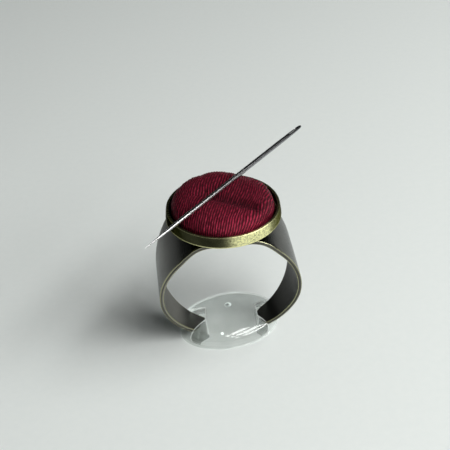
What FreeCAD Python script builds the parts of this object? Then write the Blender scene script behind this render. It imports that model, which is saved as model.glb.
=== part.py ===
import FreeCAD, Part

import math
import os

import Sketcher

# Magnetic pin cushion worn on a finger: an open brass band, a round brass cup soldered to its
# crown, a fabric-covered cushion with a magnet inside glued into the cup, one sewing needle held
# on top, and a clear soft foot that the two ends of the band sink into.
#
# Millimetres. X runs across the finger, Y along it, +Z up. The origin is on the foot's flat
# underside, straight below the middle of the band. Every part is built where it lies.

DIMENSIONS = {
    # band: one bent sheet, open at the bottom
    "axis_height": 10.4,        # widest level of the band above the floor
    "inner_half_width": 9.5,    # from the middle to the band's inner face at that level
    "upper_radius": 11.7,       # inner radius of each side above the widest level
    "lower_radius": 9.96,       # inner radius of each side below it
    "shoulder_radius": 4.0,     # inner radius of the bend into the flat crown
    "shoulder_angle": 38.8,     # degrees from vertical where that bend ends
    "tip_angle": 23.5,          # degrees from vertical where the band ends
    "band_thickness": 0.55,
    "crown_half_breadth": 6.6,
    "side_half_breadth": 4.4,
    "tip_near_breadth": 1.0,    # from the middle to where the near side cut would meet the floor
    "tip_far_breadth": 1.9,     # the same for the far side cut, so the ends lean back a little
    "tip_round": 1.3,
    # cup and what holds it
    "solder_radius": 6.0,
    "solder_thickness": 0.1,
    "cup_radius": 7.95,
    "cup_height": 1.9,
    "cup_wall": 0.35,
    "cup_bevel": 0.22,
    "glue_radius": 6.2,
    "glue_thickness": 0.1,
    # cushion
    "cushion_radius": 6.85,
    "cushion_height": 3.25,
    "cushion_tuck": 0.3,
    "cushion_crown": 0.35,
    "shoulder_round": 0.95,
    "cover_thickness": 0.25,
    "hem_radius": 2.5,
    "thread_ring_radius": 2.3,
    "thread_radius": 0.12,
    "backing_radius": 6.2,
    "backing_thickness": 0.6,
    "magnet_radius": 4.0,
    "magnet_thickness": 1.2,
    "magnet_round": 0.15,
    # needle
    "needle_length": 36.4,
    "needle_radius": 0.32,
    "needle_point_length": 7.0,
    "needle_gap": 0.03,
    "needle_heading": 47.1,     # degrees from +X towards +Y
    "needle_centre_x": 1.05,
    "needle_centre_y": 1.95,
    "eye_length": 1.5,
    "eye_half_breadth": 0.12,
    "eye_setback": 1.1,
    # clear foot
    "foot_half_length": 7.65,
    "foot_half_breadth": 5.5,
    "foot_half_height": 2.6,
    "foot_middle_height": 1.05,
    "foot_offset": 1.0,         # the foot's middle along Y
    "slot_offset": 0.5,         # the slots' middle along Y
    "slot_half_breadth": 2.4,
    "slot_start": 6.3,          # from the middle to where each slot starts to narrow
    "slot_end": 3.15,           # from the middle to the blind end of each slot
    "slot_end_flat": 0.45,
    "slot_end_round": 1.75,
    "slot_floor": 0.4,
}

doc = FreeCAD.newDocument("pin_cushion_ring")
sheet = doc.addObject("Spreadsheet::Sheet", "dims")
for row, (alias, number) in enumerate(DIMENSIONS.items(), start=1):
    sheet.set("A%d" % row, alias)
    sheet.set("B%d" % row, str(number))
    sheet.setAlias("B%d" % row, alias)
doc.recompute()


class Size:
    """A number together with the spreadsheet expression that drives it."""

    def __init__(self, number, text):
        self.number = number
        self.text = text

    def combined(self, sign, other, number):
        other_text = other.text if isinstance(other, Size) else repr(other)
        return Size(number, "(%s %s %s)" % (self.text, sign, other_text))

    def __add__(self, other):
        return self.combined("+", other, self.number + number_of(other))

    def __sub__(self, other):
        return self.combined("-", other, self.number - number_of(other))

    def __mul__(self, other):
        return self.combined("*", other, self.number * number_of(other))

    def __truediv__(self, other):
        return self.combined("/", other, self.number / number_of(other))


def number_of(value):
    return value.number if isinstance(value, Size) else value


def dim(alias):
    return Size(float(sheet.get(alias)), "dims." + alias)


def sine(angle):
    return Size(math.sin(math.radians(angle.number)), "sin(%s * 1 deg)" % angle.text)


def cosine(angle):
    return Size(math.cos(math.radians(angle.number)), "cos(%s * 1 deg)" % angle.text)


# ---------------------------------------------------------------- helpers

def new_body(name):
    body = doc.addObject("PartDesign::Body", name)
    body.Label = name
    return body


def origin_feature(body, role):
    return next(item for item in body.Origin.OriginFeatures if item.Role == role)


def first_guess(start, end, radius, centre):
    """The edge from start to end: straight, or an arc of under half a turn about centre."""
    a = FreeCAD.Vector(number_of(start[0]), number_of(start[1]), 0)
    b = FreeCAD.Vector(number_of(end[0]), number_of(end[1]), 0)
    if radius is None:
        return Part.LineSegment(a, b)
    c = FreeCAD.Vector(number_of(centre[0]), number_of(centre[1]), 0)
    outward = (a + b) * 0.5 - c
    outward.normalize()
    return Part.Arc(a, c + outward * number_of(radius), b)


def outline(body, name, role, loops):
    """A sketch of closed loops on one of the body's own planes.

    A loop is a list of corners (x, y) or (x, y, radius, centre), where the last two turn the edge
    that leaves the corner into an arc. Every corner's place and every radius follows the sheet.
    """
    sketch = body.newObject("Sketcher::SketchObject", name)
    sketch.AttachmentSupport = (origin_feature(body, role), [""])
    sketch.MapMode = "FlatFace"
    for loop in loops:
        first = sketch.GeometryCount
        for index, corner in enumerate(loop):
            following = loop[(index + 1) % len(loop)]
            radius, centre = corner[2:] if len(corner) == 4 else (None, None)
            sketch.addGeometry(first_guess(corner, following, radius, centre), False)
        for index, corner in enumerate(loop):
            edge = first + index
            previous = first + (index - 1) % len(loop)
            start, last_end = arc_ends(sketch, edge)[0], arc_ends(sketch, previous)[1]
            sketch.addConstraint(Sketcher.Constraint("Coincident", previous, last_end, edge, start))
            bind(sketch, Sketcher.Constraint("DistanceX", -1, 1, edge, start,
                                             number_of(corner[0])), corner[0])
            bind(sketch, Sketcher.Constraint("DistanceY", -1, 1, edge, start,
                                             number_of(corner[1])), corner[1])
            if len(corner) == 4:
                bind(sketch, Sketcher.Constraint("Radius", edge, number_of(corner[2])), corner[2])
    return sketch


def arc_ends(sketch, edge):
    """Which point of an edge is its start and which its end, along the loop's direction.

    A sketch keeps arcs anticlockwise, so an arc drawn clockwise has its two points exchanged.
    """
    geometry = sketch.Geometry[edge]
    if isinstance(geometry, Part.ArcOfCircle) and geometry.Circle.Axis.z < 0:
        return 2, 1
    return 1, 2


def bind(sketch, constraint, size):
    index = sketch.addConstraint(constraint)
    if isinstance(size, Size):
        sketch.setExpression("Constraints[%d]" % index, size.text)


def revolve(body, sketch, axis):
    feature = body.newObject("PartDesign::Revolution", sketch.Name + "_turn")
    feature.Profile = sketch
    feature.ReferenceAxis = (sketch, [axis])
    feature.Angle = 360
    return feature


def disc(name, radius, thickness, bottom):
    cylinder = doc.addObject("Part::Cylinder", name)
    cylinder.Label = name
    cylinder.setExpression("Radius", radius.text)
    cylinder.setExpression("Height", thickness.text)
    cylinder.setExpression("Placement.Base.z", bottom.text)
    return cylinder


# ---------------------------------------------------------------- levels of the stack

axis_height = dim("axis_height")
thickness = dim("band_thickness")
lower_middle = dim("inner_half_width") - dim("lower_radius")
upper_middle = dim("inner_half_width") - dim("upper_radius")
shoulder_reach = dim("upper_radius") - dim("shoulder_radius")
shoulder_middle_x = upper_middle + shoulder_reach * sine(dim("shoulder_angle"))
shoulder_middle_z = axis_height + shoulder_reach * cosine(dim("shoulder_angle"))
crown_inside = shoulder_middle_z + dim("shoulder_radius")
crown_top = crown_inside + thickness
cup_bottom = crown_top + dim("solder_thickness")
cup_inside = cup_bottom + dim("cup_wall")
cup_rim = cup_bottom + dim("cup_height")
cushion_bottom = cup_inside + dim("glue_thickness")
backing_bottom = cushion_bottom + dim("cover_thickness")
backing_top = backing_bottom + dim("backing_thickness")
magnet_top = backing_top + dim("magnet_thickness")
cushion_top = cushion_bottom + dim("cushion_height")
needle_height = cushion_top + dim("needle_gap") + dim("needle_radius")


# ---------------------------------------------------------------- band

def side_trim(body):
    """Cut the sheet to its outline: broad at the crown, narrowing evenly towards both ends."""
    outside = dim("crown_half_breadth") + 2.0
    level_above = crown_top + 1.0
    loops = []
    for side, tip in ((-1, dim("tip_near_breadth")), (1, dim("tip_far_breadth"))):
        loops.append([
            (outside * side, level_above),
            (dim("crown_half_breadth") * side, level_above),
            (dim("crown_half_breadth") * side, shoulder_middle_z + 2.0),
            (dim("side_half_breadth") * side, axis_height),
            (tip * side, Size(0.0, "0.0")),
            (outside * side, Size(0.0, "0.0")),
        ])
    sketch = outline(body, body.Name + "_trim", "YZ_Plane", loops)
    cut = body.newObject("PartDesign::Pocket", body.Name + "_trimmed")
    cut.Profile = sketch
    cut.Type = "ThroughAll"
    cut.Midplane = True
    return cut


def pad_band(body, loop):
    sketch = outline(body, body.Name + "_profile", "XZ_Plane", [loop])
    pad = body.newObject("PartDesign::Pad", body.Name + "_sheet")
    pad.Profile = sketch
    pad.Midplane = True
    pad.setExpression("Length", (dim("crown_half_breadth") * 2.0 + 1.0).text)
    return pad


def on_upper_arc(side, extra):
    """Point where the shoulder bend meets the side, on the inner or the outer face."""
    radius = dim("upper_radius") + extra
    return ((upper_middle + radius * sine(dim("shoulder_angle"))) * side,
            axis_height + radius * cosine(dim("shoulder_angle")))


def on_lower_arc(side, extra):
    """Corner at the band's end, on the inner or the outer face."""
    radius = dim("lower_radius") + extra
    return ((lower_middle + radius * sine(dim("tip_angle"))) * side,
            axis_height - radius * cosine(dim("tip_angle")))


def band_crown():
    """The flat middle of the sheet, with the bend at each shoulder."""
    body = new_body("band_crown")
    inner = dim("shoulder_radius")
    outer = inner + thickness
    centres = {side: (shoulder_middle_x * side, shoulder_middle_z) for side in (-1, 1)}
    loop = [
        on_upper_arc(-1, 0.0) + (inner, centres[-1]),
        (shoulder_middle_x * -1, crown_inside),
        (shoulder_middle_x, crown_inside, inner, centres[1]),
        on_upper_arc(1, 0.0),
        on_upper_arc(1, thickness) + (outer, centres[1]),
        (shoulder_middle_x, crown_top),
        (shoulder_middle_x * -1, crown_top, outer, centres[-1]),
        on_upper_arc(-1, thickness),
    ]
    pad_band(body, loop)
    side_trim(body)
    return body


def band_arm(name, side):
    """One side of the sheet, from the shoulder bend to its rounded end."""
    body = new_body(name)
    upper_centre = (upper_middle * side, axis_height)
    lower_centre = (lower_middle * side, axis_height)
    inner_side = dim("inner_half_width")
    outer_side = inner_side + thickness
    loop = [
        on_upper_arc(side, 0.0) + (dim("upper_radius"), upper_centre),
        (inner_side * side, axis_height, dim("lower_radius"), lower_centre),
        on_lower_arc(side, 0.0),
        on_lower_arc(side, thickness) + (dim("lower_radius") + thickness, lower_centre),
        (outer_side * side, axis_height, dim("upper_radius") + thickness, upper_centre),
        on_upper_arc(side, thickness),
    ]
    pad_band(body, loop)
    trimmed = side_trim(body)
    doc.recompute()
    tip_level = on_lower_arc(side, 0.0)[1].number
    corners = [
        "Edge%d" % (index + 1) for index, edge in enumerate(trimmed.Shape.Edges)
        if abs(edge.Length - thickness.number) < 0.05
        and max(vertex.Z for vertex in edge.Vertexes) < tip_level + 0.01]
    rounding = body.newObject("PartDesign::Fillet", name + "_end")
    rounding.Base = (trimmed, corners)
    rounding.setExpression("Radius", "dims.tip_round")
    return body


# ---------------------------------------------------------------- cup

def bezel_cup():
    """Round tray with a thin upright rim and a small bevel round its lower edge."""
    body = new_body("bezel_cup")
    radius = dim("cup_radius")
    centre = Size(0.0, "0.0")
    bevel = dim("cup_bevel")
    loop = [
        (centre, cup_bottom),
        (radius - bevel, cup_bottom),
        (radius, cup_bottom + bevel),
        (radius, cup_rim),
        (radius - dim("cup_wall"), cup_rim),
        (radius - dim("cup_wall"), cup_inside),
        (centre, cup_inside),
    ]
    revolve(body, outline(body, "cup_section", "XZ_Plane", [loop]), "V_Axis")
    return body


# ---------------------------------------------------------------- cushion

def cushion_wall(inset):
    """Side, shoulder and top of the cushion, moved inwards by inset: from its foot to its top."""
    radius = dim("cushion_radius")
    shoulder = dim("shoulder_round")
    flat_level = cushion_top - dim("cushion_crown")
    centre = (radius - shoulder, flat_level - shoulder)
    return [
        (radius - inset, backing_top),
        (radius - inset, flat_level - shoulder, shoulder - inset, centre),
        (radius - shoulder, flat_level - inset),
        (Size(0.0, "0.0"), cushion_top - inset),
    ]


def fabric_cover():
    """Skin of the cushion, drawn together under it and left open in the middle."""
    body = new_body("fabric_cover")
    skin = dim("cover_thickness")
    tucked = dim("cushion_radius") - dim("cushion_tuck")
    inner_wall = cushion_wall(skin)
    side_top, shoulder_end = inner_wall[1], inner_wall[2]
    loop = [(dim("hem_radius"), cushion_bottom), (tucked, cushion_bottom)]
    loop += cushion_wall(Size(0.0, "0.0"))
    loop += [
        inner_wall[3],
        shoulder_end + side_top[2:],
        side_top[:2],
        inner_wall[0],
        (tucked - skin, backing_bottom),
        (dim("hem_radius"), backing_bottom),
    ]
    revolve(body, outline(body, "cover_section", "XZ_Plane", [loop]), "V_Axis")
    return body


def padding():
    """Stuffing under the fabric, hollowed underneath for the magnet."""
    body = new_body("padding")
    loop = [(dim("magnet_radius"), backing_top)]
    loop += cushion_wall(dim("cover_thickness"))
    loop += [(Size(0.0, "0.0"), magnet_top), (dim("magnet_radius"), magnet_top)]
    revolve(body, outline(body, "padding_section", "XZ_Plane", [loop]), "V_Axis")
    return body


def magnet():
    """Plated disc magnet with softened edges."""
    body = new_body("magnet")
    radius = dim("magnet_radius")
    soft = dim("magnet_round")
    centre = Size(0.0, "0.0")
    loop = [
        (centre, backing_top),
        (radius - soft, backing_top, soft, (radius - soft, backing_top + soft)),
        (radius, backing_top + soft),
        (radius, magnet_top - soft, soft, (radius - soft, magnet_top - soft)),
        (radius - soft, magnet_top),
        (centre, magnet_top),
    ]
    revolve(body, outline(body, "magnet_section", "XZ_Plane", [loop]), "V_Axis")
    return body


def gather_thread():
    """The drawn thread that closes the cover underneath."""
    ring = doc.addObject("Part::Torus", "gather_thread")
    ring.Label = "gather_thread"
    ring.setExpression("Radius1", "dims.thread_ring_radius")
    ring.setExpression("Radius2", "dims.thread_radius")
    ring.setExpression("Placement.Base.z", (cushion_bottom + dim("cover_thickness") / 2.0).text)
    return ring


# ---------------------------------------------------------------- needle

def needle():
    """Sewing needle: long tapered point at one end, slotted eye at the other."""
    body = new_body("needle")
    half = dim("needle_length") / 2.0
    radius = dim("needle_radius")
    axis = Size(0.0, "0.0")
    loop = [
        (half * -1, axis),
        (half * -1 + dim("needle_point_length") * 0.45, radius * 0.72),
        (half * -1 + dim("needle_point_length"), radius),
        (half - dim("eye_length") * 2.0, radius),
        (half - radius, radius * 0.8),
        (half, radius * 0.3),
        (half, axis),
    ]
    revolve(body, outline(body, "needle_section", "XZ_Plane", [loop]), "H_Axis")
    eye_end = half - dim("eye_setback")
    eye_start = eye_end - dim("eye_length")
    breadth = dim("eye_half_breadth")
    slot = [
        (eye_start, breadth * -1),
        (eye_end, breadth * -1, breadth, (eye_end, axis)),
        (eye_end + breadth, axis, breadth, (eye_end, axis)),
        (eye_end, breadth),
        (eye_start, breadth, breadth, (eye_start, axis)),
        (eye_start - breadth, axis, breadth, (eye_start, axis)),
    ]
    eye = body.newObject("PartDesign::Pocket", "needle_eye")
    eye.Profile = outline(body, "eye_outline", "XZ_Plane", [slot])
    eye.Type = "ThroughAll"
    eye.Midplane = True
    body.Placement = FreeCAD.Placement(
        FreeCAD.Vector(0, 0, 0),
        FreeCAD.Rotation(FreeCAD.Vector(0, 0, 1), dim("needle_heading").number))
    body.setExpression("Placement.Base.x", "dims.needle_centre_x")
    body.setExpression("Placement.Base.y", "dims.needle_centre_y")
    body.setExpression("Placement.Base.z", needle_height.text)
    return body


# ---------------------------------------------------------------- clear foot

def foot_slot(side):
    """Plan of one slot: open at the foot's end, narrowing to a rounded blind end."""
    reach = dim("foot_half_length") * 1.5
    offset = dim("slot_offset")
    breadth = dim("slot_half_breadth")
    rounding = dim("slot_end_round")
    flat = dim("slot_end_flat")
    middle = (dim("slot_end") + rounding) * side
    end = dim("slot_end") * side
    return [
        (reach * side, offset - breadth),
        (dim("slot_start") * side, offset - breadth),
        (middle, offset - flat - rounding, rounding, (middle, offset - flat)),
        (end, offset - flat),
        (end, offset + flat, rounding, (middle, offset + flat)),
        (middle, offset + flat + rounding),
        (dim("slot_start") * side, offset + breadth),
        (reach * side, offset + breadth),
    ]


def clear_foot():
    """Low clear dome with a flat underside and a slot at each end for the band."""
    body = new_body("clear_foot")
    dome = body.newObject("PartDesign::AdditiveEllipsoid", "foot_dome")
    dome.AttachmentSupport = (origin_feature(body, "YZ_Plane"), [""])
    dome.MapMode = "FlatFace"
    # The poles lie at the two ends and the seam underneath, where the cuts take them away.
    dome.AttachmentOffset = FreeCAD.Placement(
        FreeCAD.Vector(0, 0, 0), FreeCAD.Rotation(FreeCAD.Vector(0, 0, 1), -90))
    dome.setExpression("Radius1", "dims.foot_half_length")
    dome.setExpression("Radius2", "dims.foot_half_height")
    dome.setExpression("Radius3", "dims.foot_half_breadth")
    dome.setExpression("AttachmentOffset.Base.x", "dims.foot_offset")
    dome.setExpression("AttachmentOffset.Base.y", "dims.foot_middle_height")

    reach = dim("foot_half_length") * 1.5
    square = [(reach * -1, reach * -1), (reach, reach * -1), (reach, reach), (reach * -1, reach)]
    underside = body.newObject("PartDesign::Pocket", "foot_underside")
    underside.Profile = outline(body, "underside_outline", "XY_Plane", [square])
    underside.Type = "ThroughAll"

    slots = body.newObject("PartDesign::Pocket", "foot_slots")
    plan = outline(body, "slot_outline", "XY_Plane", [foot_slot(-1), foot_slot(1)])
    plan.setExpression("AttachmentOffset.Base.z", "dims.slot_floor")
    slots.Profile = plan
    slots.Type = "ThroughAll"
    slots.Reversed = True
    return body


# ---------------------------------------------------------------- assembly

parts = [
    band_crown(),
    band_arm("band_arm_left", -1),
    band_arm("band_arm_right", 1),
    disc("solder_disc", dim("solder_radius"), dim("solder_thickness"), crown_top),
    bezel_cup(),
    disc("glue_disc", dim("glue_radius"), dim("glue_thickness"), cup_inside),
    fabric_cover(),
    gather_thread(),
    disc("backing_disc", dim("backing_radius"), dim("backing_thickness"), backing_bottom),
    magnet(),
    padding(),
    needle(),
    clear_foot(),
]
doc.recompute()

for item in doc.Objects:
    if "Invalid" in item.State or "Error" in item.State:
        raise RuntimeError("%s did not build: %s" % (item.Name, item.State))
for part in parts:
    if part.Shape.isNull() or not part.Shape.isValid() or len(part.Shape.Solids) != 1:
        raise RuntimeError("%s is not one valid solid" % part.Label)

os.makedirs("parts", exist_ok=True)
for part in parts:
    box = part.Shape.BoundBox
    print("%-16s %8.2f mm3  x %6.2f %6.2f  y %6.2f %6.2f  z %6.2f %6.2f" % (
        part.Label, part.Shape.Volume, box.XMin, box.XMax, box.YMin, box.YMax, box.ZMin, box.ZMax))
    part.Shape.exportStep("parts/%s.step" % part.Label)
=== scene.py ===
import math

import bmesh
import bpy
import numpy as np
from mathutils import Matrix, Vector
from mathutils.bvhtree import BVHTree
from mathutils.kdtree import KDTree


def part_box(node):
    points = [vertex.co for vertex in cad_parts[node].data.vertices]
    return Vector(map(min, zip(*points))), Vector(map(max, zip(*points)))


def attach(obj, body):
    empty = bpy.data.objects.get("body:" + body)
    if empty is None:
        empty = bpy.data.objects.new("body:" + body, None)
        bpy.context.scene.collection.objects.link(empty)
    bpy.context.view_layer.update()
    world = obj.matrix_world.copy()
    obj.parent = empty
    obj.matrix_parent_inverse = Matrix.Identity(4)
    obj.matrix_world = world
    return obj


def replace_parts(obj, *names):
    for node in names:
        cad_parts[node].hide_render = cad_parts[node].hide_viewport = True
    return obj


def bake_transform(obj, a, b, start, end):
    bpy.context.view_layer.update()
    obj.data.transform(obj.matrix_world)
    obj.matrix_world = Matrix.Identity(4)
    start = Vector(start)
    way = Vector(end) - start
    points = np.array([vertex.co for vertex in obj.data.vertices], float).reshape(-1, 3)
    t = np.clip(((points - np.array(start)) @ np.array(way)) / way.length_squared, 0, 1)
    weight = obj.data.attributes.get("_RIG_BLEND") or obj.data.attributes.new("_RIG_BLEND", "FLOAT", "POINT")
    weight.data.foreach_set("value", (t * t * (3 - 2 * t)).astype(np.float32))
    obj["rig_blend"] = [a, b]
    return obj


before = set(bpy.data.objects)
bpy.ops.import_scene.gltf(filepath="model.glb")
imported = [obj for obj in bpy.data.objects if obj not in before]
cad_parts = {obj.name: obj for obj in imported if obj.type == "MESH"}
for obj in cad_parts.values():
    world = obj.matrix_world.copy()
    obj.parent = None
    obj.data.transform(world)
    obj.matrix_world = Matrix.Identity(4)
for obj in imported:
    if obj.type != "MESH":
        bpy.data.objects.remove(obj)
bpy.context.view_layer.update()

# Sizes are in millimetres in the frame's axes and become metres in new_mesh().
MM = 0.001

# The bent sheet, in the same driving sizes as the CAD model. Its right end is cut a little short.
AXIS_HEIGHT = 10.4
INNER_HALF_WIDTH = 9.5
UPPER_RADIUS = 11.7
LOWER_RADIUS = 9.96
SHOULDER_RADIUS = 4.0
SHOULDER_ANGLE = math.radians(38.8)
TIP_ANGLE = math.radians(23.5)
SHEET = 0.55
CROWN_HALF_BREADTH = 6.6
SIDE_HALF_BREADTH = 4.4
TIP_NEAR_BREADTH = 1.0
TIP_FAR_BREADTH = 1.9
RIGHT_END_SHORT = 0.6

# The sheet's arcs from the crown's flat to its end: centre x and z, radius of the sheet's middle,
# first angle and last angle from the vertical.
SHOULDER_X = (INNER_HALF_WIDTH - UPPER_RADIUS
              + (UPPER_RADIUS - SHOULDER_RADIUS) * math.sin(SHOULDER_ANGLE))
SHOULDER_Z = AXIS_HEIGHT + (UPPER_RADIUS - SHOULDER_RADIUS) * math.cos(SHOULDER_ANGLE)
BAND_ARCS = [
    (SHOULDER_X, SHOULDER_Z, SHOULDER_RADIUS + SHEET / 2, 0.0, SHOULDER_ANGLE),
    (INNER_HALF_WIDTH - UPPER_RADIUS, AXIS_HEIGHT, UPPER_RADIUS + SHEET / 2,
     SHOULDER_ANGLE, math.pi / 2),
    (INNER_HALF_WIDTH - LOWER_RADIUS, AXIS_HEIGHT, LOWER_RADIUS + SHEET / 2,
     math.pi / 2, math.pi - TIP_ANGLE),
]

# The cup and the cushion are set a little to the left of the ring's middle.
CUP_SHIFT = -0.15
CUSHION_SHIFT = -0.20
CUP_SEGMENTS = 288

# Edges of the gel that turn by more than this are rounded and show as lips.
SHARP_ANGLE = math.radians(48.0)

NEEDLE_LENGTH = 36.4
NEEDLE_MIDDLE = (1.05, 1.95)
NEEDLE_HEADING = math.radians(47.1)


def box_mm(node):
    low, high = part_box(node)
    return np.array(low) / MM, np.array(high) / MM


# ---------------------------------------------------------------- mesh helpers

def new_mesh(name, points, faces, attributes=None, smooth=True):
    """A mesh object from points in millimetres."""
    mesh = bpy.data.meshes.new(name)
    mesh.from_pydata((np.asarray(points) * MM).tolist(), [], [list(face) for face in faces])
    mesh.validate()
    for key, values in (attributes or {}).items():
        layer = mesh.attributes.new(key, "FLOAT", "POINT")
        layer.data.foreach_set("value", np.asarray(values, np.float32).ravel())
    for polygon in mesh.polygons:
        polygon.use_smooth = smooth
    piece = bpy.data.objects.new(name, mesh)
    bpy.context.scene.collection.objects.link(piece)
    return piece


def ring_faces(rows, columns):
    """Quads between successive closed rings of points."""
    faces = []
    for row in range(rows - 1):
        for column in range(columns):
            across = (column + 1) % columns
            a, b = row * columns, (row + 1) * columns
            faces.append((a + column, b + column, b + across, a + across))
    return faces


def loft(name, rings, attributes=None, flip=False):
    """Closed solid through rings of points, capped with a fan at each end."""
    rings = np.asarray(rings, float)
    rows, columns = rings.shape[:2]
    points = rings.reshape(-1, 3)
    ends = np.array([rings[0].mean(0), rings[-1].mean(0)])
    faces = ring_faces(rows, columns)
    start, last = rows * columns, rows * columns + 1
    for column in range(columns):
        across = (column + 1) % columns
        faces.append((start, column, across))
        faces.append((last, (rows - 1) * columns + across, (rows - 1) * columns + column))
    if flip:
        faces = [tuple(reversed(face)) for face in faces]
    grown = {}
    for key, values in (attributes or {}).items():
        values = np.asarray(values, float).reshape(rows, columns)
        grown[key] = np.concatenate([values.ravel(), [values[0].mean(), values[-1].mean()]])
    return new_mesh(name, np.concatenate([points, ends]), faces, grown)


def lathe(name, profile, segments, attributes=None, wobble=None):
    """Solid turned about Z from a profile of (radius, height), from its lower axis end upwards."""
    profile = np.asarray(profile, float)
    angles = np.linspace(0, 2 * np.pi, segments, endpoint=False)
    radius = np.repeat(profile[:, :1], segments, 1)
    if wobble is not None:
        radius = radius + wobble(radius, angles[None, :], profile[:, 1:2])
    rings = np.stack([radius * np.cos(angles), radius * np.sin(angles),
                      np.repeat(profile[:, 1:2], segments, 1)], 2)
    spread = {}
    for key, values in (attributes or {}).items():
        values = np.asarray(values, float)
        spread[key] = values if values.ndim == 2 else np.repeat(values[:, None], segments, 1)
    return loft(name, rings, spread, flip=True)


def ripple(points, scale, seed):
    """Smooth seeded noise of about -1 to 1: waves of random direction, scale millimetres long."""
    waves = 24
    random = np.random.default_rng(seed)
    points = np.asarray(points, float)
    total = np.zeros(points.shape[:-1])
    for _ in range(waves):
        direction = random.normal(size=points.shape[-1])
        direction *= 2 * np.pi / (scale * random.uniform(0.7, 1.6)) / np.linalg.norm(direction)
        total += np.sin(points @ direction + random.uniform(0, 2 * np.pi))
    return total / math.sqrt(waves / 2) / 1.6


def rising(value, middle, width):
    """A soft step from 0 to 1 over about four widths; a negative width makes it fall instead."""
    return 1 / (1 + np.exp(-(value - middle) / width))


def smooth(value, low, high):
    """A smooth step of one number: 0 up to low, 1 from high on."""
    share = min(max((value - low) / (high - low), 0.0), 1.0)
    return share * share * (3 - 2 * share)


def rounded_corner(centre, radius, start, end, steps=5):
    """Points of an arc in a profile, angles in degrees."""
    angles = np.radians(np.linspace(start, end, steps))
    return [(centre[0] + radius * math.cos(a), centre[1] + radius * math.sin(a)) for a in angles]


# ---------------------------------------------------------------- material helpers

class Shader:
    """A material's node tree with short ways to add and join nodes."""

    def __init__(self, name):
        self.material = bpy.data.materials.new(name)
        self.material.use_nodes = True
        self.tree = self.material.node_tree
        self.surface = self.tree.nodes["Principled BSDF"]

    def add(self, kind, inputs=None, **settings):
        made = self.tree.nodes.new(kind)
        for key, value in settings.items():
            setattr(made, key, value)
        for key, value in (inputs or {}).items():
            self.put(made, key, value)
        return made

    def put(self, target, key, value):
        """Set an input, or join it to another node's output."""
        socket = target.inputs[key]
        if isinstance(value, bpy.types.NodeSocket):
            self.tree.links.new(value, socket)
        else:
            socket.default_value = value

    def set(self, **values):
        for key, value in values.items():
            self.put(self.surface, key.replace("_", " "), value)

    def place(self):
        return self.add("ShaderNodeTexCoord").outputs["Object"]

    def attribute(self, name):
        return self.add("ShaderNodeAttribute", attribute_name=name).outputs["Fac"]

    def stretched(self, scales):
        """Object coordinates scaled by a different amount along each axis."""
        return self.add("ShaderNodeMapping", {"Vector": self.place(), "Scale": scales}).outputs[0]

    def noise(self, scale, detail=3.0, roughness=0.55, vector=None):
        return self.add("ShaderNodeTexNoise", {
            "Vector": vector or self.place(), "Scale": scale, "Detail": detail,
            "Roughness": roughness}).outputs["Fac"]

    def math(self, operation, a, b=0.0, clamp=False):
        made = self.add("ShaderNodeMath", {0: a, 1: b}, operation=operation, use_clamp=clamp)
        return made.outputs[0]

    def between(self, value, low, high, to_low=0.0, to_high=1.0):
        """value mapped from low..high to to_low..to_high, clamped."""
        return self.add("ShaderNodeMapRange", {
            "Value": value, "From Min": low, "From Max": high,
            "To Min": to_low, "To Max": to_high}).outputs["Result"]

    def ramp(self, value, stops):
        made = self.add("ShaderNodeValToRGB", {"Fac": value})
        elements = made.color_ramp.elements
        while len(elements) < len(stops):
            elements.new(0.5)
        for element, (position, colour) in zip(elements, stops):
            element.position = position
            element.color = (*colour, 1.0)
        return made.outputs["Color"]

    def mix(self, fac, a, b, blend="MIX"):
        made = self.add("ShaderNodeMix", data_type="RGBA", blend_type=blend)
        for index, value in ((0, fac), (6, a), (7, b)):
            if isinstance(value, tuple):
                value = (*value, 1.0)
            if isinstance(value, bpy.types.NodeSocket):
                self.tree.links.new(value, made.inputs[index])
            else:
                made.inputs[index].default_value = value
        return made.outputs[2]

    def bump(self, height, distance, strength=1.0, under=None):
        inputs = {"Height": height, "Distance": distance, "Strength": strength}
        if under is not None:
            inputs["Normal"] = under
        return self.add("ShaderNodeBump", inputs).outputs["Normal"]


def cover_with(piece, shader):
    piece.data.materials.clear()
    piece.data.materials.append(shader.material)
    return piece


# ---------------------------------------------------------------- materials

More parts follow.
